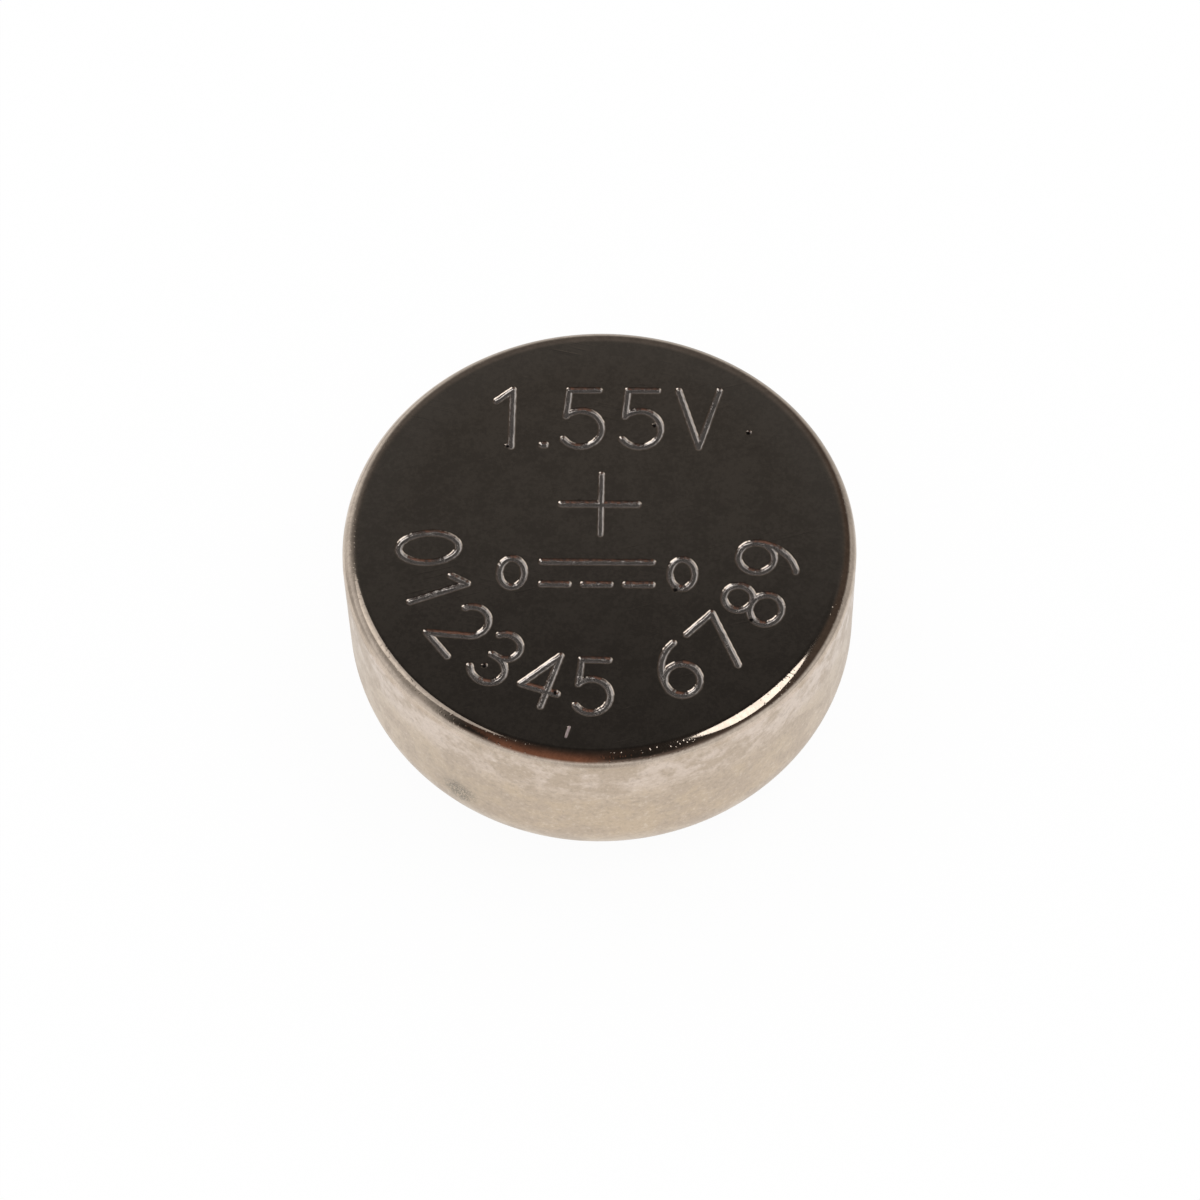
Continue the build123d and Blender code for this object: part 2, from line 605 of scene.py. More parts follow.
@dataclass(frozen=True)
class RingNickel:
    """Plain stamped nickel of the support ring, matt from the press."""

    colour: Colour = (0.60, 0.56, 0.50)
    dull_share: float = 0.78
    relief: float = 0.000005

    def paint(self, graph: Graph) -> None:
        """Fill the graph of the ring's material.

        Args:
            graph: the material's graph.
        """
        place = graph.millimetres()
        dull = graph.step(graph.noise(place, 2.6, 4.0, 0.6), 0.35, 0.7)
        fine = graph.noise(place, 26.0, 3.0, 0.6)
        graph.surface(
            {
                "Base Color": graph.blend(dull, self.colour, shaded(self.colour, self.dull_share)),
                "Metallic": 1.0,
                "Roughness": graph.spread(fine, 0.28, 0.46),
                "Normal": graph.bump(fine, self.relief, 0.8),
            }
        )


@dataclass(frozen=True)
class Powder:
    """A pressed or gelled powder: colours of the base and the grains, and the grains' size and sheen."""

    base: Colour
    grain: Colour
    grains_per_mm: float
    metallic: float
    rough: float
    relief: float
    shade_share: float = 0.6

    def paint(self, graph: Graph) -> None:
        """Fill the graph of a powder's material.

        Args:
            graph: the material's graph.
        """
        place = graph.millimetres()
        grains = 1.0 - graph.step(graph.cells(place, self.grains_per_mm), 0.18, 0.62)
        cloud = graph.step(graph.noise(place, 1.7, 5.0, 0.65), 0.5, 0.8)
        fine = graph.noise(place, self.grains_per_mm * 2.2, 3.0, 0.6)
        shade = shaded(self.base, self.shade_share)
        graph.surface(
            {
                "Base Color": graph.layers(self.base, (grains, self.grain), (cloud, shade)),
                "Metallic": self.metallic,
                "Roughness": graph.spread(fine, self.rough, self.rough + 0.2),
                "Normal": graph.bump(grains * 0.7 + fine * 0.3, self.relief, 1.0),
            }
        )


@dataclass(frozen=True)
class Film:
    """Regenerated cellulose film, wet and slightly tinted."""

    colour: Colour = (0.55, 0.57, 0.62)
    tint: Colour = (0.44, 0.45, 0.50)
    relief: float = 0.000005

    def paint(self, graph: Graph) -> None:
        """Fill the graph of the film's material.

        Args:
            graph: the material's graph.
        """
        place = graph.millimetres()
        drawn = graph.vector("MULTIPLY", place, (6.0, 0.6, 1.0))
        lines = graph.noise(drawn, 2.0, 4.0, 0.6)
        cloud = graph.step(graph.noise(place, 0.9, 3.0, 0.5), 0.35, 0.65)
        graph.surface(
            {
                "Base Color": graph.blend(cloud, self.colour, self.tint),
                "Roughness": graph.spread(lines, 0.10, 0.26),
                "Coat Weight": 0.6,
                "Coat Roughness": 0.08,
                "Normal": graph.bump(lines, self.relief, 0.6),
            }
        )


@dataclass(frozen=True)
class Fibre:
    """Non-woven cellulose fibre that soaks up the electrolyte."""

    colour: Colour = (0.74, 0.73, 0.69)
    shade: Colour = (0.52, 0.51, 0.47)
    relief: float = 0.00002

    def paint(self, graph: Graph) -> None:
        """Fill the graph of the fibre disc's material.

        Args:
            graph: the material's graph.
        """
        place = graph.millimetres()
        bend = graph.noise(place, 3.0, 2.0, 0.5) * 6.0
        x, y, z = graph.axes(place)
        along = graph.noise(graph.joined(x * 9.0 + bend, y * 1.4, z * 8.0), 2.4, 3.0, 0.6)
        across = graph.noise(graph.joined(x * 1.4, y * 9.0 - bend, z * 8.0), 2.4, 3.0, 0.6)
        fibres = graph.maths("MAXIMUM", along, across)
        graph.surface(
            {
                "Base Color": graph.blend(graph.step(fibres, 0.45, 0.68), self.shade, self.colour),
                "Roughness": graph.spread(fibres, 0.95, 0.75),
                "Normal": graph.bump(fibres, self.relief, 1.0),
            }
        )


# ---------------------------------------------------------------- turned meshes


@dataclass
class Outline:
    """Half of a turned section: runs of (radius, height) points in mm with their outward normals.

    The runs go round the section with the material on their right-hand side.
    """

    runs: list[tuple[np.ndarray, np.ndarray]] = field(default_factory=list)

    def eased_arc(self, outer: float, top: float, radius: float, ease: float, steps: int) -> "Outline":
        """Add a rounded edge from a flat top out to an upright wall, slow to start.

        Args:
            outer: the wall's radius.
            top: the flat top's height.
            radius: the bend radius where the edge meets the wall.
            ease: how much larger the bend radius is where it leaves the top.
            steps: how many faces it is cut into.

        Returns:
            This outline.
        """
        pieces = 20
        ease_angle = math.radians(8.0)
        turned = np.radians(np.linspace(0.0, 90.0, steps * pieces + 1))
        middle = (turned[1:] + turned[:-1]) / 2
        run = (radius + ease * np.exp(-middle / ease_angle)) * (turned[1] - turned[0])
        out = np.concatenate([[0.0], np.cumsum(run * np.cos(middle))])
        down = np.concatenate([[0.0], np.cumsum(run * np.sin(middle))])
        points = np.stack([outer + out - out[-1], top - down], axis=1)
        normals = np.stack([np.sin(turned), np.cos(turned)], axis=1)
        self.runs.append((points[::pieces], normals[::pieces]))
        return self

    def line(self, start: Spot, end: Spot, steps: int = 1) -> "Outline":
        """Add a straight run.

        Args:
            start: first point.
            end: last point.
            steps: how many faces it is cut into.

        Returns:
            This outline.
        """
        points = np.linspace(start, end, steps + 1)
        along = (points[-1] - points[0]) / np.linalg.norm(points[-1] - points[0])
        normals = np.repeat([(-along[1], along[0])], steps + 1, axis=0)
        self.runs.append((points, normals))
        return self

    def arc(self, centre: Spot, radius: float, start: float, end: float, steps: int) -> "Outline":
        """Add a run round a centre.

        Args:
            centre: the centre's radius and height.
            radius: the arc's radius.
            start: first angle in degrees, 0 pointing outwards and 90 up.
            end: last angle in degrees.
            steps: how many faces it is cut into.

        Returns:
            This outline.
        """
        angles = np.radians(np.linspace(start, end, steps + 1))
        rays = np.stack([np.cos(angles), np.sin(angles)], axis=1)
        side = 1.0 if end < start else -1.0
        self.runs.append((np.array(centre) + radius * rays, side * rays))
        return self


@dataclass
class MeshSheet:
    """Vertices and faces gathered in mm, each face corner with its own normal."""

    points: list[Triple] = field(default_factory=list)
    faces: list[tuple[int, ...]] = field(default_factory=list)
    normals: list[Triple] = field(default_factory=list)

    def add_points(self, points: np.ndarray) -> np.ndarray:
        """Add points.

        Args:
            points: one row of three lengths in mm for each point.

        Returns:
            The new points' numbers.
        """
        start = len(self.points)
        self.points.extend(map(tuple, points))
        return np.arange(start, start + len(points))

    def add_face(self, corners: Sequence[int], normals: Iterable[Sequence[float]]) -> None:
        """Add one face with a normal for each corner."""
        self.faces.append(tuple(int(corner) for corner in corners))
        self.normals.extend(tuple(float(part) for part in normal) for normal in normals)

    @staticmethod
    def _around(radial: float, upright: float, count: int) -> np.ndarray:
        """Turn one section pair round the axis.

        Args:
            radial: its part away from the axis.
            upright: its part along the axis.
            count: how many copies are made, one at each segment's start.

        Returns:
            The copies, one to a row.
        """
        angle = np.arange(count) * (2 * np.pi / SEGMENTS)
        return np.stack([radial * np.cos(angle), radial * np.sin(angle), np.full(count, upright)], axis=1)

    def ring(self, radius: float, height: float) -> np.ndarray:
        """Add one ring of points round the axis and return their numbers."""
        return self.add_points(self._around(radius, height, SEGMENTS))

    def turn(
        self, outline: Outline, first: Optional[np.ndarray] = None, closed: bool = False
    ) -> np.ndarray:
        """Sweep an outline round the axis.

        Args:
            outline: the half section.
            first: an existing ring that the outline starts from.
            closed: whether the last point meets the first.

        Returns:
            The numbers of the last ring.
        """
        start = last = first
        left = sum(len(points) - 1 for points, _ in outline.runs)
        for points, normals in outline.runs:
            if last is None:
                start = last = self._ring_or_tip(points[0])
            for i in range(1, len(points)):
                left -= 1
                following = start if closed and left == 0 else self._ring_or_tip(points[i])
                self._add_band(last, following, normals[i - 1], normals[i])
                last = following
        return last

    def _add_band(
        self, before: np.ndarray, after: np.ndarray, normal_before: np.ndarray, normal_after: np.ndarray
    ) -> None:
        """Add the faces between two rings, either of which may be a single point on the axis.

        Args:
            before: the first ring's point numbers.
            after: the next ring's point numbers.
            normal_before: the section's normal at the first ring.
            normal_after: the section's normal at the next ring.
        """
        upper = self._around(*normal_before, SEGMENTS + 1)
        lower = self._around(*normal_after, SEGMENTS + 1)
        for j in range(SEGMENTS):
            k = (j + 1) % SEGMENTS
            if len(before) == 1:
                self.add_face((before[0], after[j], after[k]), (upper[j], lower[j], lower[j + 1]))
            elif len(after) == 1:
                self.add_face((before[j], after[0], before[k]), (upper[j], lower[j], upper[j + 1]))
            else:
                corners = (before[j], after[j], after[k], before[k])
                self.add_face(corners, (upper[j], lower[j], lower[j + 1], upper[j + 1]))

    def _ring_or_tip(self, point: np.ndarray) -> np.ndarray:
        """Add what a section point turns into: a ring, or one point where it meets the axis.

        Args:
            point: the section point's radius and height.

        Returns:
            The numbers of the ring's points, or of the single point.
        """
        if abs(point[0]) < NOTHING:
            return self.add_points(np.array([(0.0, 0.0, point[1])]))
        return self.ring(point[0], point[1])

    def build(self, name: str) -> bpy.types.Object:
        """Make the object, in metres.

        Args:
            name: the object's name.

        Returns:
            The new object, linked to the scene.
        """
        mesh = bpy.data.meshes.new(name)
        mesh.from_pydata([tuple(MM * part for part in point) for point in self.points], [], self.faces)
        mesh.polygons.foreach_set("use_smooth", [True] * len(mesh.polygons))
        mesh.normals_split_custom_set(self.normals)
        mesh.update()
        made = bpy.data.objects.new(name, mesh)
        bpy.context.scene.collection.objects.link(made)
        return made


# ---------------------------------------------------------------- stamped marks


@dataclass(frozen=True)
class Stroke:
    """One line of a stamped mark through its points in mm, with its width and depth as shares."""

    points: tuple[Point, ...]
    width: float = 1.0
    depth: float = 1.0

    def placed(self, origin: Point, height: float, turn: float = 0.0) -> "Stroke":
        """Return this stroke moved from its glyph's box, 0.6 wide and 1 high, to the face.

        Args:
            origin: where the box's centre goes.
            height: the glyph's height in mm.
            turn: its turn in degrees.

        Returns:
            The moved stroke.
        """
        cosine, sine = math.cos(math.radians(turn)), math.sin(math.radians(turn))
        moved = []
        for x, y in self.points:
            u, v = (x - 0.3) * height, (y - 0.5) * height
            moved.append((origin[0] + u * cosine - v * sine, origin[1] + u * sine + v * cosine))
        return Stroke(tuple(moved), self.width, self.depth)


def bow(centre: Point, radii: Point, start: float, end: float, steps: int = 20) -> tuple[Point, ...]:
    """Return points along part of an oval.

    Args:
        centre: the oval's centre.
        radii: its half width and half height.
        start: first angle in degrees.
        end: last angle in degrees.
        steps: how many pieces it is cut into.

    Returns:
        The points in order.
    """
    angles = [math.radians(start + (end - start) * i / steps) for i in range(steps + 1)]
    return tuple((centre[0] + radii[0] * math.cos(a), centre[1] + radii[1] * math.sin(a)) for a in angles)


class Glyph(Enum):
    """The stamp's plain numerals and its V, drawn as lines in a box 0.6 wide and 1 high."""

    ZERO = (bow((0.30, 0.50), (0.29, 0.50), 0, 360, 36),)
    ONE = (((0.12, 0.80), (0.36, 1.00), (0.36, 0.00)),)
    TWO = (bow((0.30, 0.71), (0.28, 0.29), 165, -38) + ((0.02, 0.00), (0.60, 0.00)),)
    THREE = (
        bow((0.28, 0.76), (0.25, 0.24), 150, -90) + bow((0.28, 0.26), (0.30, 0.26), 90, -150)[1:],
        ((0.18, 0.52), (0.28, 0.52)),
    )
    FOUR = (((0.44, 0.00), (0.44, 1.00), (0.00, 0.30), (0.62, 0.30)),)
    FIVE = (((0.54, 1.00), (0.10, 1.00), (0.06, 0.54)) + bow((0.28, 0.32), (0.31, 0.32), 128, -145),)
    SIX = (bow((0.30, 0.30), (0.29, 0.30), 0, 360, 30), bow((0.62, 0.30), (0.61, 0.70), 180, 103, 14))
    SEVEN = (((0.02, 1.00), (0.60, 1.00), (0.20, 0.00)),)
    EIGHT = (bow((0.30, 0.76), (0.24, 0.24), 0, 360, 28), bow((0.30, 0.26), (0.29, 0.26), 0, 360, 30))
    NINE = (bow((0.30, 0.70), (0.29, 0.30), 0, 360, 30), bow((-0.02, 0.70), (0.61, 0.70), 0, -77, 14))
    VOLT = (((0.0, 1.0), (0.3, 0.0), (0.6, 1.0)),)

    def strokes(self, origin: Point, height: float, turn: float = 0.0) -> list[Stroke]:
        """Return this glyph's strokes at a place on the face."""
        return [Stroke(line).placed(origin, height, turn) for line in self.value]


@dataclass(frozen=True)
class StampedMarks:
    """The marks pressed into the positive face: numerals, the plus sign and the direct current sign."""

    dial_radius: float = 2.615
    dial_height: float = 0.92
    dial_angles: tuple[float, ...] = (184.0, 201.0, 218.0, 235.0, 252.0, 269.0, 297.5, 315.5, 334.0, 352.5)
    plus_centre: Point = (0.0, 0.63)
    plus_arms: Point = (1.16, 1.09)
    plus_lean: float = 0.02
    voltage_row: float = 2.22
    voltage_height: float = 1.06
    voltage_places: tuple[float, ...] = (-1.46, -0.30, 0.62, 1.52)
    voltage_point: tuple[Point, Point] = ((-0.91, 1.72), (-0.87, 1.72))
    current_bar: tuple[Point, Point] = ((-0.86, -0.42), (0.82, -0.42))
    current_dashes: tuple[float, ...] = (-0.66, -0.02, 0.62)
    dash_row: float = -0.82
    dash_half: float = 0.20
    nought_places: tuple[Point, Point] = ((-1.32, -0.62), (1.28, -0.62))
    nought_radii: Point = (0.19, 0.26)
    nick: tuple[Point, Point] = ((-0.43, -3.47), (-0.39, -3.33))
    pits: tuple[Point, ...] = (
        (-1.69, -2.27),
        (2.29, 1.97),
        (1.18, -0.90),
        (-0.62, -2.72),
        (2.33, -1.42),
        (-1.46, 1.70),
        (0.83, 2.10),
    )
    groove_depth: float = 0.0195
    floor_half: float = 0.018
    wall_half: float = 0.0635

    def strokes(self) -> list[Stroke]:
        """Return every stroke of the stamp, in mm on the face."""
        return [*self._dial(), *self._plus(), *self._voltage(), *self._current(), *self._blemishes()]

    def _dial(self) -> list[Stroke]:
        """Return the numerals 0 to 9 along the front of the face.

        Returns:
            Their strokes.
        """
        made = []
        for glyph, angle in zip(Glyph, self.dial_angles):
            turn = math.radians(angle)
            origin = (self.dial_radius * math.cos(turn), self.dial_radius * math.sin(turn))
            made += glyph.strokes(origin, self.dial_height, angle + 90.0)
        return made

    def _plus(self) -> list[Stroke]:
        """Return the plus sign, its level arm wider and deeper than its upright one.

        Returns:
            Its two strokes.
        """
        x, y = self.plus_centre
        across, along = self.plus_arms[0] / 2, self.plus_arms[1] / 2
        upright = x + self.plus_lean
        level_arm = Stroke(((x - across, y), (x + across, y)), 1.12, 1.1)
        return [level_arm, Stroke(((upright, y - along), (upright, y + along)), 0.88)]

    def _voltage(self) -> list[Stroke]:
        """Return the voltage along the back of the face.

        Returns:
            Its strokes.
        """
        row, height = self.voltage_row, self.voltage_height
        *numerals, unit = self.voltage_places
        made = []
        for glyph, x in zip((Glyph.ONE, Glyph.FIVE, Glyph.FIVE), numerals):
            made += glyph.strokes((x, row), height)
        made.append(Stroke(self.voltage_point, 1.1))
        return made + Glyph.VOLT.strokes((unit, row), height)

    def _current(self) -> list[Stroke]:
        """Return the direct current sign, a bar over three dashes, between two noughts.

        Returns:
            Its strokes.
        """
        y, half = self.dash_row, self.dash_half
        made = [Stroke(self.current_bar)]
        made += [Stroke(((x - half, y), (x + half, y))) for x in self.current_dashes]
        return made + [Stroke(bow(place, self.nought_radii, 0, 360, 26)) for place in self.nought_places]

    def _blemishes(self) -> list[Stroke]:
        """Return the nick near the front edge and the small pits beside the marks."""
        dots = [Stroke(((x, y), (x + 0.02, y + 0.01)), 0.6, 0.8) for x, y in self.pits]
        return [Stroke(self.nick, 0.5, 0.35), *dots]

    def profile(self, distance: np.ndarray) -> np.ndarray:
        """Return the height over the face at distances from a stroke's line, in mm."""
        run = np.clip((distance - self.floor_half) / (self.wall_half - self.floor_half), 0.0, 1.0)
        return -self.groove_depth * (1.0 - run * run * (3.0 - 2.0 * run))

    def levels(self) -> list[float]:
        """Return the distances from a stroke's line at which the mesh has rails, in mm."""
        slack = 0.003
        walls = np.linspace(self.floor_half - slack, self.wall_half + slack, 7)
        return [*walls, self.wall_half + 0.03, self.wall_half + 0.07]


class StampField:
    """Distances from a set of strokes, and the pressed surface that follows from them."""

    def __init__(self, marks: StampedMarks) -> None:
        """Take the strokes of a set of marks."""
        self.marks = marks
        self.strokes = marks.strokes()

    @staticmethod
    def _to_stroke(points: np.ndarray, stroke: Stroke) -> np.ndarray:
        """Measure the distance to one stroke.

        Args:
            points: places on the face.
            stroke: the stroke.

        Returns:
            Each point's distance in the stroke's own widths.
        """
        nodes = np.array(stroke.points)
        best = np.full(len(points), FAR)
        for a, b in zip(nodes[:-1], nodes[1:]):
            run = b - a
            share = np.clip(((points - a) @ run) / max(run @ run, NOTHING), 0.0, 1.0)
            gap = points - a - share[:, None] * run
            best = np.minimum(best, np.hypot(gap[:, 0], gap[:, 1]))
        return best / stroke.width

    def _near(self, points: np.ndarray, stroke: Stroke, reach: float = 0.4) -> np.ndarray:
        """Measure the distance to one stroke, but only for the points close to it.

        Args:
            points: places on the face.
            stroke: the stroke.
            reach: how far round the stroke's box counts as close.

        Returns:
            Each point's distance, or a very large one where the point isn't close.
        """
        nodes = np.array(stroke.points)
        low, high = nodes.min(axis=0) - reach, nodes.max(axis=0) + reach
        close = np.all((points > low) & (points < high), axis=1)
        found = np.full(len(points), FAR)
        if close.any():
            found[close] = self._to_stroke(points[close], stroke)
        return found

    def nearest(self, points: np.ndarray) -> np.ndarray:
        """Measure the distance to the nearest stroke.

        Args:
            points: places on the face.

        Returns:
            Each point's distance.
        """
        best = np.full(len(points), FAR)
        for stroke in self.strokes:
            best = np.minimum(best, self._near(points, stroke))
        return best

    def height(self, points: np.ndarray) -> np.ndarray:
        """Work out the pressed surface's height.

        Args:
            points: places on the face.

        Returns:
            Each point's height over the plain face, 0 or less.
        """
        depth, ragged = self._wander(points)
        lowest = np.zeros(len(points))
        for stroke in self.strokes:
            found = self._near(points, stroke) + ragged
            lowest = np.minimum(lowest, self.marks.profile(found) * stroke.depth)
        return lowest * depth

    @staticmethod
    def _wander(points: np.ndarray) -> tuple[np.ndarray, np.ndarray]:
        """Work out how unevenly the worn punch bit.

        Args:
            points: places on the face.

        Returns:
            The share of the full depth at each point, and how far the groove's edge strays there in mm.
        """
        x, y = points[:, 0], points[:, 1]
        slow = np.sin(4.1 * x + 2.3 * y + 1.3) * np.sin(3.7 * y - 2.9 * x + 0.4)
        quick = np.sin(17.0 * x + 5.0 * y) * np.sin(13.0 * y - 8.0 * x + 2.0)
        fine = np.sin(46.0 * x + 13.0 * y + 0.7) * np.sin(41.0 * y - 17.0 * x + 1.9)
        return 1.0 + 0.25 * slow + 0.20 * quick, 0.0030 * fine + 0.0020 * quick

    def normals(self, points: np.ndarray) -> np.ndarray:
        """Work out the pressed surface's normals.

        Args:
            points: places on the face.

        Returns:
            A unit normal for each point.
        """
        nudge = 0.0010
        slopes = []
        for axis in ((nudge, 0.0), (0.0, nudge)):
            rise = self.height(points + axis) - self.height(points - axis)
            slopes.append(rise / (2 * nudge))
        normals = np.stack([-slopes[0], -slopes[1], np.ones(len(points))], axis=1)
        return normals / np.linalg.norm(normals, axis=1)[:, None]

    def rails(self, spacing: float) -> np.ndarray:
        """Return points that follow every stroke at the mesh's distances.

        Args:
            spacing: the step along a stroke, in mm.

        Returns:
            The points that lie at their true distance from the nearest stroke.
        """
        tolerance = 0.0015
        kept = []
        for level in (0.0, *self.marks.levels()):
            for stroke in self.strokes:
                points = self._offset(stroke, level * stroke.width, spacing)
                true = np.abs(self.nearest(points) - level) < tolerance
                kept.append(points[true])
        return np.concatenate(kept)

    def _offset(self, stroke: Stroke, distance: float, spacing: float) -> np.ndarray:
        """Walk round a stroke at one distance from its line.

        Args:
            stroke: the stroke.
            distance: how far from the line, in mm.
            spacing: the step along the stroke, in mm.

        Returns:
            The points passed.
        """
        nodes = np.array(stroke.points)
        made = []
        for a, b in zip(nodes[:-1], nodes[1:]):
            run = b - a
            size = np.hypot(*run)
            steps = max(1, int(round(size / spacing)))
            share = (np.arange(steps) + 0.5) / steps
            side = np.array([-run[1], run[0]]) / size
            line = a + share[:, None] * run
            made.append(line + distance * side)
            if distance > 0:
                made.append(line - distance * side)
        if distance > 0:
            count = max(8, int(round(2 * math.pi * distance / spacing)))
            angles = np.arange(count) * (2 * math.pi / count)
            circle = np.stack([np.cos(angles), np.sin(angles)], axis=1)
            made += [corner + distance * circle for corner in self._corners(nodes)]
        return np.concatenate(made)

    @staticmethod
    def _corners(nodes: np.ndarray, sharp: float = 0.5) -> list[np.ndarray]:
        """Find where a stroke's edge has to be rounded: its two ends and its sharp bends.

        Args:
            nodes: the stroke's points.
            sharp: the least bend that counts, in radians.

        Returns:
            The points at which it is rounded.
        """
        closed = np.hypot(*(nodes[0] - nodes[-1])) < NOTHING
        found = [] if closed else [nodes[0], nodes[-1]]
        for before, at, after in zip(nodes[:-2], nodes[1:-1], nodes[2:]):
            one, two = at - before, after - at
            bend = math.atan2(one[0] * two[1] - one[1] * two[0], one @ two)
            if abs(bend) > sharp:
                found.append(at)
        return found


# ---------------------------------------------------------------- pieces of the cell


def place_piece(piece: bpy.types.Object, node: str, slot: str, finish: Finish) -> None:
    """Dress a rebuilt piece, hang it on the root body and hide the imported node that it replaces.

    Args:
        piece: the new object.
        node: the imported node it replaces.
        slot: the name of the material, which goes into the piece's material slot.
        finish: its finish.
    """
    piece.data.materials.append(new_material(slot, finish))
    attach(piece, "root")
    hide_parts(node)


@dataclass(frozen=True)
class Closure:
    """Sizes that the can, the gasket and the cap share at the crimp, in mm."""

    can_radius: float
    cell_height: float
    lip_height: float
    can_sheet: float = 0.18
    gasket_wall: float = 0.25
    cap_sheet: float = 0.15
    crimp_radius: float = 1.33
    crimp_angle: float = 51.0

    @property
    def can_bore(self) -> float:
        """Return the radius inside the can's wall."""
        return self.can_radius - self.can_sheet

    @property
    def skirt_radius(self) -> float:
        """Return the radius of the cap's skirt, which is the gasket's bore."""
        return self.can_bore - self.gasket_wall

    @property
    def skirt_bore(self) -> float:
        """Return the radius inside the cap's skirt."""
        return self.skirt_radius - self.cap_sheet

    @property
    def crimp_top(self) -> float:
        """Return the height at which the wall starts to roll in."""
        return self.lip_height + self.crimp_radius * math.sin(math.radians(self.crimp_angle))

    @property
    def crimp_centre(self) -> np.ndarray:
        """Return the centre that every layer of the crimp is rolled about."""
        return np.array([self.can_radius - self.crimp_radius, self.crimp_top])

    @property
    def crimp_ray(self) -> np.ndarray:
        """Return the direction from that centre to the crimp's end."""
        angle = math.radians(-self.crimp_angle)
        return np.array([math.cos(angle), math.sin(angle)])

    @property
    def crimp_along(self) -> np.ndarray:
        """Return the direction in which the crimp's layers end."""
        out, up = self.crimp_ray
        return np.array([up, -out])


@dataclass
class PositiveCan:
    """The drawn cup: stamped face, rounded edge, wall, and the lip rolled in at the bottom."""

    closure: Closure
    marks: StampedMarks = StampedMarks()
    edge_radius: float = 0.22
    edge_ease: float = 0.40
    face_radius: float = 3.66
    grid: float = 0.13
    rail_step: float = 0.022
    least_gap: float = 0.003
    rim_gap: float = 0.06
    marks_gap: float = 0.14
    lip_round: float = 0.025
    floor_round: float = 0.04

    def build(self) -> bpy.types.Object:
        """Build the can as one closed mesh and dress it.

        Returns:
            The dressed can.
        """
        sheet = MeshSheet()
        rim = self._stamped_face(sheet)
        sheet.turn(self._outline(), first=rim)
        piece = sheet.build("can_shell")
        finish = CanNickel(self.closure.cell_height, self.edge_radius, self.face_radius, self.marks.pits)
        place_piece(piece, "positive_can", "can_nickel", finish)
        return piece

    def _outline(self) -> Outline:
        """Draw the section from the stamped face's edge, down the wall and back up inside.

        Returns:
            The open half section, which ends on the axis.
        """
        shut = self.closure
        top, bore = shut.cell_height, shut.can_bore
        under, bend = top - shut.can_sheet, self.floor_round
        edge = Outline().eased_arc(shut.can_radius, top, self.edge_radius, self.edge_ease, 22)
        rounding = edge.runs[0][0]
        made = Outline().line((self.face_radius, top), rounding[0])
        made.runs += edge.runs
        made.line(rounding[-1], (shut.can_radius, shut.crimp_top), 12)
        self._add_lip(made)
        made.line((bore, shut.crimp_top), (bore, under - bend), 4)
        made.arc((bore - bend, under - bend), bend, 0, 90, 4)
        made.line((bore - bend, under), (0.0, under), 2)
        return made

    def _add_lip(self, made: Outline) -> None:
        """Add the crimp's outside, its rounded end and its inside to the section.

        Args:
            made: the section that is being drawn.
        """
        shut, small = self.closure, self.lip_round
        centre, ray, along = shut.crimp_centre, shut.crimp_ray, shut.crimp_along
        turn = -shut.crimp_angle
        rolled = turn + math.degrees(small / shut.crimp_radius)
        reach = shut.crimp_radius - shut.can_sheet
        outer = centre + (shut.crimp_radius - small) * ray - small * along
        inner = centre + (reach + small) * ray - small * along
        made.arc(centre, shut.crimp_radius, 0, rolled, 22)
        made.arc(outer, small, turn, turn - 90, 5)
        made.line(outer + small * along, inner + small * along)
        made.arc(inner, small, turn - 90, turn - 180, 5)
        made.arc(centre, reach, rolled, 0, 14)

    def _stamped_face(self, sheet: MeshSheet) -> np.ndarray:
        """Add the face with its pressed marks.

        Args:
            sheet: the can's mesh.

        Returns:
            The point numbers of the face's outer ring.
        """
        top = self.closure.cell_height
        rim = sheet.ring(self.face_radius, top)
        count = len(rim)
        press = StampField(self.marks)
        loose = np.concatenate([press.rails(self.rail_step), self._open_points(press)])
        circle = np.array([sheet.points[number][:2] for number in rim])
        given = [Vector(point) for point in np.concatenate([circle, self._thinned(loose)])]
        edge = [(i, (i + 1) % count) for i in range(count)]
        found, _, triangles, origins, _, _ = delaunay_2d_cdt(given, edge, [], 0, 1e-7, True)
        place = np.array([tuple(point) for point in found])
        normals = press.normals(place)
        numbers = np.full(len(place), -1)
        for index, sources in enumerate(origins):
            on_rim = [source for source in sources if source < count]
            if on_rim:
                numbers[index] = rim[on_rim[0]]
        inside = numbers < 0
        heights = top + press.height(place[inside])
        numbers[inside] = sheet.add_points(np.column_stack([place[inside], heights]))
        for triangle in triangles:
            corners = list(triangle)
            a, b, c = place[corners]
            if (b[0] - a[0]) * (c[1] - a[1]) < (b[1] - a[1]) * (c[0] - a[0]):
                corners.reverse()
            sheet.add_face(numbers[corners], normals[corners])
        return rim

    def _open_points(self, press: StampField) -> np.ndarray:
        """Spread coarse points over the plain parts of the face.

        Args:
            press: the stamp, whose marks are left free.

        Returns:
            The points.
        """
        radius = self.face_radius
        rows = np.arange(-radius, radius, self.grid * math.sqrt(3) / 2)
        made = []
        for number, y in enumerate(rows):
            xs = np.arange(-radius, radius, self.grid) + (number % 2) * self.grid / 2
            made.append(np.stack([xs, np.full(len(xs), y)], axis=1))
        points = np.concatenate(made)
        points = points[np.hypot(points[:, 0], points[:, 1]) < radius - self.rim_gap]
        return points[press.nearest(points) > self.marks.wall_half + self.marks_gap]

    def _thinned(self, points: np.ndarray) -> np.ndarray:
        """Return the points with near doubles left out."""
        _, keep = np.unique(np.round(points / self.least_gap).astype(int), axis=0, return_index=True)
        return points[np.sort(keep)]


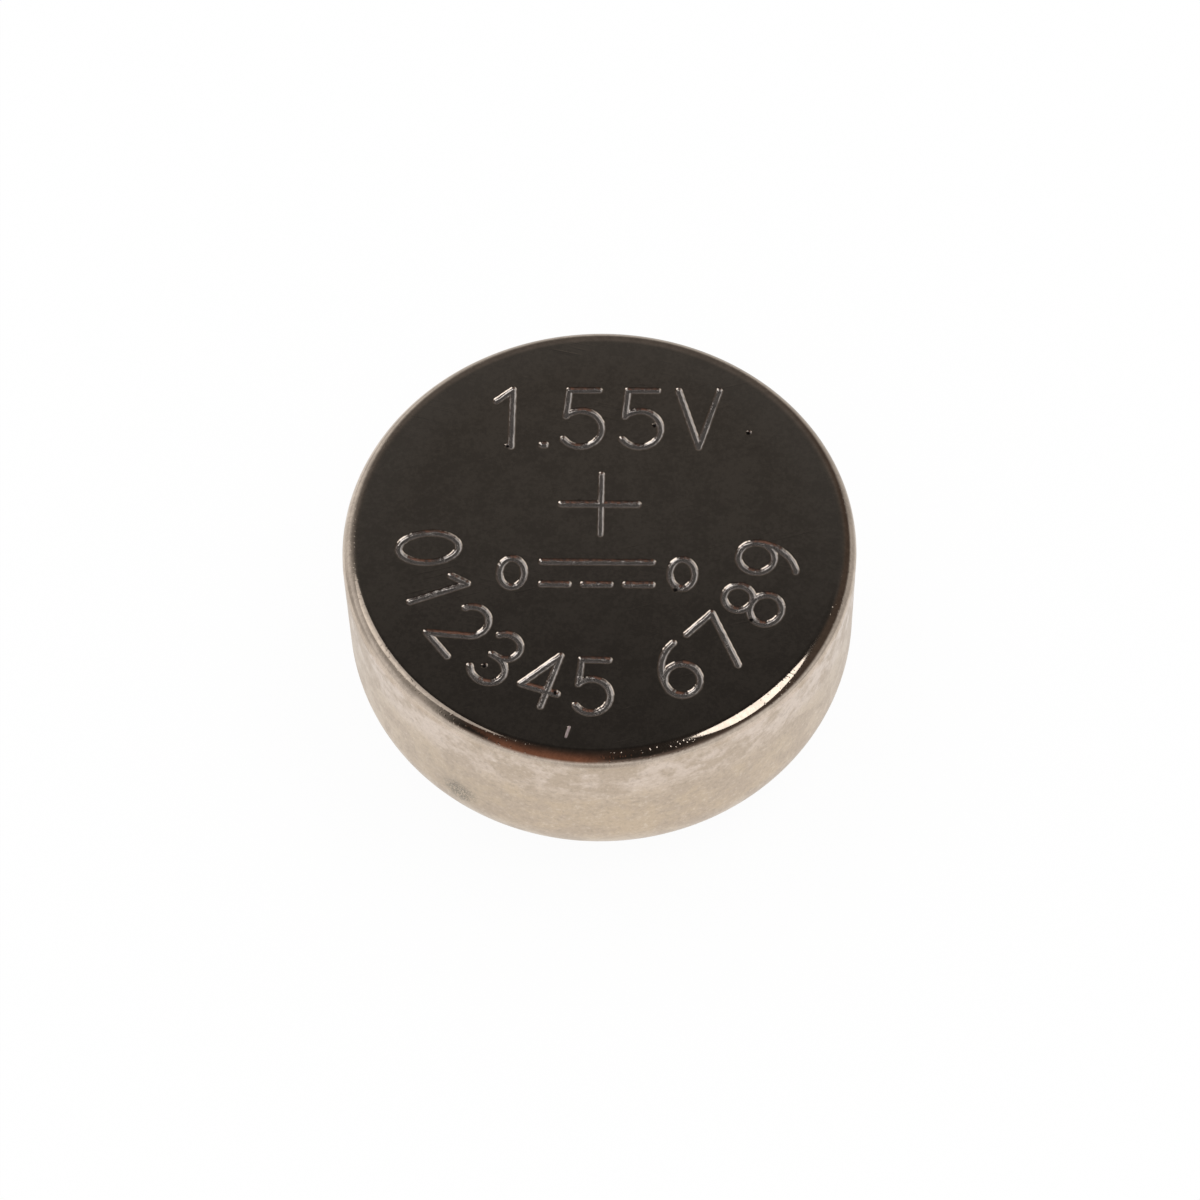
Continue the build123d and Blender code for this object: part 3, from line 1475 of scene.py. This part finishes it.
@dataclass
class SealingGasket:
    """The nylon ring: outer wall, channel under the cap's rim, collar inside and lip in the crimp."""

    closure: Closure
    top: float = 2.46
    channel: float = 2.26
    collar_end: float = 2.01
    collar_wall: float = 0.14
    overhang: float = 0.10
    lip_round: float = 0.035

    def build(self) -> bpy.types.Object:
        """Build the gasket as one closed mesh and dress it.

        Returns:
            The dressed gasket.
        """
        sheet = MeshSheet()
        sheet.turn(self._outline(), closed=True)
        piece = sheet.build("gasket_ring")
        place_piece(piece, "sealing_gasket", "gasket_nylon", GasketNylon())
        return piece

    def _outline(self) -> Outline:
        """Draw the J section, from the top of the outer wall down and round.

        Returns:
            The closed half section.
        """
        shut, small = self.closure, self.lip_round
        centre, ray, along = shut.crimp_centre, shut.crimp_ray, shut.crimp_along
        turn = -shut.crimp_angle
        bore, skirt, skirt_bore = shut.can_bore, shut.skirt_radius, shut.skirt_bore
        collar = skirt_bore - self.collar_wall
        outer_reach = shut.crimp_radius - shut.can_sheet
        inner_reach = outer_reach - shut.gasket_wall
        outer_end = centre + outer_reach * ray
        inner_end = centre + inner_reach * ray
        outer_hub = outer_end + (self.overhang - small) * along - small * ray
        inner_hub = inner_end + (self.overhang - small) * along + small * ray
        made = Outline()
        made.line((bore, self.top), (bore, shut.crimp_top), 6)
        made.arc(centre, outer_reach, 0, turn, 18)
        made.line(outer_end, outer_hub + small * ray)
        made.arc(outer_hub, small, turn, turn - 90, 6)
        made.line(outer_hub + small * along, inner_hub + small * along)
        made.arc(inner_hub, small, turn - 90, turn - 180, 6)
        made.line(inner_hub - small * ray, inner_end)
        made.arc(centre, inner_reach, turn, 0, 16)
        made.line((skirt, shut.crimp_top), (skirt, self.channel), 4)
        made.line((skirt, self.channel), (skirt_bore, self.channel))
        made.line((skirt_bore, self.channel), (skirt_bore, self.collar_end))
        made.line((skirt_bore, self.collar_end), (collar, self.collar_end))
        made.line((collar, self.collar_end), (collar, self.top), 2)
        made.line((collar, self.top), (bore, self.top))
        return made


@dataclass
class NegativeCap:
    """The stepped lid: skirt in the gasket, shoulder under the crimp, neck and contact face."""

    closure: Closure
    rim_height: float = 2.26
    slope: float = 0.20
    waist_radius: float = 0.12
    edge_radius: float = 0.20
    floor_round: float = 0.05

    def build(self) -> bpy.types.Object:
        """Build the cap as one closed mesh and dress it.

        Returns:
            The dressed cap.
        """
        sheet = MeshSheet()
        sheet.turn(self._outline())
        piece = sheet.build("cap_shell")
        place_piece(piece, "negative_cap", "cap_nickel", CapNickel())
        return piece

    def _outline(self) -> Outline:
        """Draw the section from the axis inside, over the rim, and back to the contact's middle.

        Returns:
            The half section, which starts and ends on the axis.
        """
        shut = self.closure
        centre, ray, along = shut.crimp_centre, shut.crimp_ray, shut.crimp_along
        turn, sheet, bend = shut.crimp_angle, shut.cap_sheet, self.floor_round
        skirt, skirt_bore = shut.skirt_radius, shut.skirt_bore
        reach = shut.crimp_radius - shut.can_sheet - shut.gasket_wall
        inner_reach = reach - sheet
        slope_end = centre + reach * ray + self.slope * along
        hub = slope_end + self.waist_radius * ray
        neck = hub[0] - self.waist_radius
        neck_bore = neck - sheet
        inner_waist = self.waist_radius + sheet
        made = Outline()
        made.line((0.0, sheet), (neck_bore - bend, sheet), 2)
        made.arc((neck_bore - bend, sheet + bend), bend, -90, 0, 4)
        made.line((neck_bore, sheet + bend), (neck_bore, hub[1]), 2)
        made.arc(hub, inner_waist, 180, 180 - turn, 10)
        made.line(hub - inner_waist * ray, centre + inner_reach * ray)
        made.arc(centre, inner_reach, -turn, 0, 12)
        made.line((skirt_bore, shut.crimp_top), (skirt_bore, self.rim_height), 2)
        made.line((skirt_bore, self.rim_height), (skirt, self.rim_height))
        made.line((skirt, self.rim_height), (skirt, shut.crimp_top), 2)
        made.arc(centre, reach, 0, -turn, 16)
        made.line(centre + reach * ray, slope_end, 2)
        made.arc(hub, self.waist_radius, 180 - turn, 180, 8)
        made.line((neck, hub[1]), (neck, self.edge_radius), 4)
        made.arc((neck - self.edge_radius, self.edge_radius), self.edge_radius, 0, -90, 12)
        made.line((neck - self.edge_radius, 0.0), (0.0, 0.0), 12)
        return made


@dataclass
class SealedContents:
    """The pieces sealed inside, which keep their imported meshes."""

    nodes: dict[str, bpy.types.Object]
    silver_oxide: Powder = Powder(
        base=(0.035, 0.030, 0.027),
        grain=(0.10, 0.09, 0.08),
        grains_per_mm=16.0,
        metallic=0.15,
        rough=0.55,
        relief=0.000012,
    )
    zinc_gel: Powder = Powder(
        base=(0.22, 0.23, 0.24),
        grain=(0.46, 0.47, 0.49),
        grains_per_mm=11.0,
        metallic=0.55,
        rough=0.32,
        relief=0.00002,
    )

    def dress(self) -> list[str]:
        """Give each inner piece its own finish.

        Returns:
            The names of the nodes that were dressed.
        """
        finishes: dict[str, tuple[str, Finish]] = {
            "cathode_pellet": ("silver_oxide", self.silver_oxide),
            "support_ring": ("ring_nickel", RingNickel()),
            "barrier_film": ("cellulose_film", Film()),
            "absorbent_disc": ("absorbent_fibre", Fibre()),
            "zinc_anode": ("zinc_gel", self.zinc_gel),
        }
        for name, (slot, finish) in finishes.items():
            materials = self.nodes[name].data.materials
            materials.clear()
            materials.append(new_material(slot, finish))
        return list(finishes)


# ---------------------------------------------------------------- studio


SCREENS = ((0.77, -0.64), (-0.77, -0.64), (-0.42, 0.91))  # where the pale screens stand, right and away


def screen_gaps(graph: Graph, looked_at: Input) -> Signal:
    """Find the gaps between the three pale screens that stand round the horizon.

    Args:
        graph: the node tree that asks.
        looked_at: the direction looked in, or a place on the table.

    Returns:
        A mask, 1 in the gaps.
    """
    x, y, _ = graph.axes(graph.vector("NORMALIZE", looked_at))
    one, two, three = (x * right + y * away for right, away in SCREENS)
    nearest = graph.maths("MAXIMUM", graph.maths("MAXIMUM", one, two), three)
    return 1.0 - graph.step(nearest, 0.60, 0.94)


@dataclass(frozen=True)
class TableWhite:
    """The table's finish: white to the eye and, near the cell, to metal, with painted shade that metal
    sees behind the cell and far off between the screens, and the cell's own soft shadow.
    """

    colour: Colour = (0.97, 0.97, 0.97)
    shadow_share: float = 0.05
    near: Colour = (1.0, 1.0, 1.0)
    behind: Colour = (0.62, 0.62, 0.62)
    gap: Colour = (0.50, 0.49, 0.48)

    def paint(self, graph: Graph) -> None:
        """Fill the graph of the table's material.

        Args:
            graph: the material's graph.
        """
        glossy = graph.arriving(Ray.GLOSSY)
        seen = graph.maths("MAXIMUM", graph.arriving(Ray.CAMERA), glossy)
        seen = graph.maths("MAXIMUM", seen, graph.arriving(Ray.TRANSMISSION))
        x, y, _ = graph.axes(graph.millimetres())
        # painted shade on the table, seen only by glossy rays: darker behind the cell and far off between
        # the screens
        behind = graph.step(x * 0.5 + y * 0.87, 4.8, 9.0) * glossy
        far = graph.step(graph.from_axis(x, y), 9.0, 22.0) * glossy
        gaps = screen_gaps(graph, graph.joined(x, y))
        tone = graph.layers(self.near, (behind, self.behind), (far * gaps, self.gap))
        lit = graph.node("ShaderNodeBsdfDiffuse", {}, {"Color": opaque(self.colour)})
        plain = graph.node("ShaderNodeEmission", {}, {"Color": tone, "Strength": 1.0})
        share = seen * (1.0 - self.shadow_share)
        mixed = graph.node("ShaderNodeMixShader", {}, {0: share, 1: lit.outputs[0], 2: plain.outputs[0]})
        graph.node("ShaderNodeOutputMaterial", {}, {"Surface": mixed.outputs[0]})


@dataclass(frozen=True)
class TableTop:
    """The table that the cell stands on, a square with sides in metres."""

    side: float = 4.0
    finish: TableWhite = TableWhite()

    def lay(self) -> None:
        """Lay the table top under the cell."""
        half = self.side / 2
        mesh = bpy.data.meshes.new("table_top")
        corners = [(-half, -half, 0.0), (half, -half, 0.0), (half, half, 0.0), (-half, half, 0.0)]
        mesh.from_pydata(corners, [], [(0, 1, 2, 3)])
        floor = bpy.data.objects.new("table_top", mesh)
        bpy.context.scene.collection.objects.link(floor)
        floor.data.materials.append(new_material("table_white", self.finish))


@dataclass(frozen=True)
class Surroundings:
    """What lies round the cell: white to the eye, an even grey to dull surfaces, a studio to metal.

    Polished metal sees pale screens low down, a dark ceiling and a grey wall on the left.
    """

    eye: Colour = (0.985, 0.985, 0.985)
    dull: Colour = (0.87, 0.87, 0.87)
    low: Colour = (0.82, 0.82, 0.82)
    low_behind: Colour = (0.42, 0.42, 0.42)
    gap: Colour = (0.46, 0.45, 0.44)
    overhead: Colour = (0.028, 0.025, 0.023)
    right_side: Colour = (0.085, 0.068, 0.058)
    over_camera: Colour = (0.17, 0.14, 0.13)
    brown: Colour = (0.26, 0.125, 0.082)
    wall_low: Colour = (0.66, 0.66, 0.66)
    wall_front: Colour = (0.42, 0.41, 0.40)
    wall_back: Colour = (0.60, 0.59, 0.58)
    back_stops: tuple[tuple[float, Colour], ...] = (
        (0.0, (0.130, 0.120, 0.115)),
        (0.70, (0.120, 0.112, 0.108)),
        (0.80, (0.070, 0.068, 0.066)),
        (0.845, (0.060, 0.060, 0.060)),
        (0.858, (0.042, 0.042, 0.042)),
        (0.885, (0.028, 0.028, 0.028)),
        (0.93, (0.014, 0.014, 0.014)),
    )

    def build(self) -> None:
        """Make the world and paint it."""
        world = bpy.data.worlds.new("studio")
        world.use_nodes = True
        bpy.context.scene.world = world
        self.paint(Graph(world.node_tree))

    def paint(self, graph: Graph) -> None:
        """Fill the graph of the world.

        Args:
            graph: the world's graph.
        """
        direction = graph.node("ShaderNodeTexCoord", {}, {}).outputs["Generated"]
        metal = self._seen_by_metal(graph, *graph.axes(direction))
        glossy, camera = graph.arriving(Ray.GLOSSY), graph.arriving(Ray.CAMERA)
        seen = graph.layers(self.dull, (glossy, metal), (camera, self.eye))
        shade = graph.node("ShaderNodeBackground", {}, {"Color": seen, "Strength": 1.0})
        graph.node("ShaderNodeOutputWorld", {}, {"Surface": shade.outputs[0]})

    def _seen_by_metal(self, graph: Graph, x: Signal, y: Signal, z: Signal) -> Input:
        """Join the pale screens low down to the dark studio above them.

        Args:
            graph: the world's graph.
            x: the direction's part to the right.
            y: its part away from the camera.
            z: its part upwards.

        Returns:
            The colour seen in each direction.
        """
        left, front = x * -1.0, y * -1.0
        share, wall = self._left_wall(graph, x, y, z)
        dark = graph.blend(share, self._ceiling(graph, x, y, z), wall)
        beside = graph.step(left, 0.0, 0.6) * (1.0 - graph.step(front, 0.1, 0.45) * 0.8)
        top = beside * 0.24 + graph.step(front, 0.2, 0.6) * 0.22 + graph.step(x, 0.3, 0.8) * 0.08
        top = top - graph.step(y, 0.55, 0.85) * 0.07
        behind = graph.step(y, 0.50, 0.75) * graph.step(x, -0.50, -0.25)
        level = graph.step(z, 0.30, 0.08) * screen_gaps(graph, graph.joined(x, y))
        return graph.layers(
            self.low,
            (behind, self.low_behind),
            (level * 0.8, self.gap),
            (graph.step(z - top, -0.02, 0.42), dark),
        )

    def _ceiling(self, graph: Graph, x: Signal, y: Signal, z: Signal) -> Input:
        """Work out the dark part: darkest overhead, browner in front and on the right.

        Args:
            graph: the world's graph.
            x: the direction's part to the right.
            y: its part away from the camera.
            z: its part upwards.

        Returns:
            The colour seen in each direction.
        """
        left, front = x * -1.0, y * -1.0
        back = graph.node("ShaderNodeValToRGB", {"stops": self.back_stops}, {"Fac": z}).outputs[0]
        brown = graph.step(left, -0.09, 0.12) * graph.step(left - front * 0.3, 0.38, 0.27)
        return graph.layers(
            self.overhead,
            (graph.step(y, 0.28, 0.48), back),
            (graph.step(x, 0.20, 0.55), self.right_side),
            (graph.step(front, 0.30, 0.60) * graph.step(z, 0.84, 0.60), self.over_camera),
            (brown * graph.step(front, -0.45, 0.80), self.brown),
        )

    def _left_wall(self, graph: Graph, x: Signal, y: Signal, z: Signal) -> tuple[Signal, Input]:
        """Work out the grey wall on the left.

        Args:
            graph: the world's graph.
            x: the direction's part to the right.
            y: its part away from the camera.
            z: its part upwards.

        Returns:
            How much of the wall is seen in each direction, and its colour there.
        """
        left = x * -1.0
        near, far = graph.step(left, 0.14, 0.44), graph.step(left, 0.20, 0.92)
        share = (near + (far - near) * graph.step(y, 0.25, 0.45)) * graph.step(left * 1.45 + y, 0.46, 0.82)
        share = share * (1.0 - graph.step(y, 0.40, 0.60) * 0.55)
        steep = graph.blend(graph.step(y, 0.16, 0.32), self.wall_front, self.wall_back)
        return share, graph.blend(graph.step(z, 0.35, 0.75), self.wall_low, steep)


@dataclass(frozen=True)
class Softbox:
    """One soft oval lamp that points at the cell.

    Its place and size are in mm, its turn about its own axis in degrees and its power in watts; the
    second of its sizes runs away from the camera.
    """

    name: str
    place: Triple
    size: Point
    turn: float
    power: float

    def hang(self) -> None:
        """Hang the lamp."""
        data = bpy.data.lights.new(self.name, "AREA")
        data.shape = "ELLIPSE"
        data.size, data.size_y = self.size[0] * MM, self.size[1] * MM
        data.energy = self.power
        lamp = bpy.data.objects.new(self.name, data)
        out = Vector(self.place).normalized()
        side = Vector((0.0, 1.0, 0.0)).cross(out).normalized()
        facing = Matrix((side, out.cross(side), out)).transposed()
        spin = Matrix.Rotation(math.radians(self.turn), 3, "Z")
        lamp.location = Vector(self.place) * MM
        lamp.rotation_mode = "QUATERNION"
        lamp.rotation_quaternion = (facing @ spin).to_quaternion()
        bpy.context.scene.collection.objects.link(lamp)


@dataclass(frozen=True)
class Camera:
    """The camera: angles in degrees, lengths in mm, and the small shift that the framing needs."""

    elevation: float = 57.76
    azimuth: float = 2.3
    distance: float = 63.3
    lens: float = 123.9
    sensor: float = 36.0
    roll: float = -1.54
    shift: Point = (0.0008, -0.0509)

    def aim(self, target: Vector) -> None:
        """Set the camera up.

        Args:
            target: the point that it looks at, in metres.
        """
        a, e = math.radians(self.azimuth), math.radians(self.elevation)
        back = Vector((math.sin(a) * math.cos(e), -math.cos(a) * math.cos(e), math.sin(e)))
        data = bpy.data.cameras.new("camera")
        data.sensor_width = self.sensor
        data.lens = self.lens
        data.shift_x, data.shift_y = self.shift
        data.clip_start, data.clip_end = 0.001, 20.0
        camera = bpy.data.objects.new("camera", data)
        camera.location = target + back * self.distance * MM
        camera.rotation_mode = "QUATERNION"
        rolled = Matrix.Rotation(math.radians(self.roll), 4, "Z").to_quaternion()
        camera.rotation_quaternion = (-back).to_track_quat("-Z", "Y") @ rolled
        bpy.context.scene.collection.objects.link(camera)
        bpy.context.scene.camera = camera


@dataclass(frozen=True)
class Studio:
    """A white table, pale surroundings with a dark ceiling, two soft lamps and the camera."""

    table: TableTop = TableTop()
    surroundings: Surroundings = Surroundings()
    lamps: tuple[Softbox, ...] = (
        Softbox("right_softbox", place=(81.5, 11.0, 200.0), size=(71.0, 168.0), turn=37.0, power=0.057),
        Softbox("left_softbox", place=(-95.0, 66.0, 200.0), size=(137.0, 83.0), turn=-5.0, power=0.0160),
    )
    camera: Camera = Camera()

    def build(self, target: Vector) -> None:
        """Build the whole studio.

        Args:
            target: the point that the camera looks at, in metres.
        """
        self.table.lay()
        self.surroundings.build()
        for lamp in self.lamps:
            lamp.hang()
        self.camera.aim(target)


def main() -> None:
    """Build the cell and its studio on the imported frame."""
    logging.basicConfig(level=logging.INFO, format="%(name)s: %(message)s")
    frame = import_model()
    low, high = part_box("positive_can")
    closure = Closure(can_radius=high.x / MM, cell_height=high.z / MM, lip_height=low.z / MM)
    for shell in (PositiveCan(closure), SealingGasket(closure), NegativeCap(closure)):
        piece = shell.build()
        LOG.info("%s built: %d faces", piece.name, len(piece.data.polygons))
    for name in SealedContents(frame["nodes"]).dress():
        LOG.info("%s dressed", name)
    bpy.context.scene.view_settings.view_transform = "Standard"
    Studio().build(Vector((0.0, 0.0, high.z)))
    LOG.info("studio set")


if __name__ == "__main__":
    main()
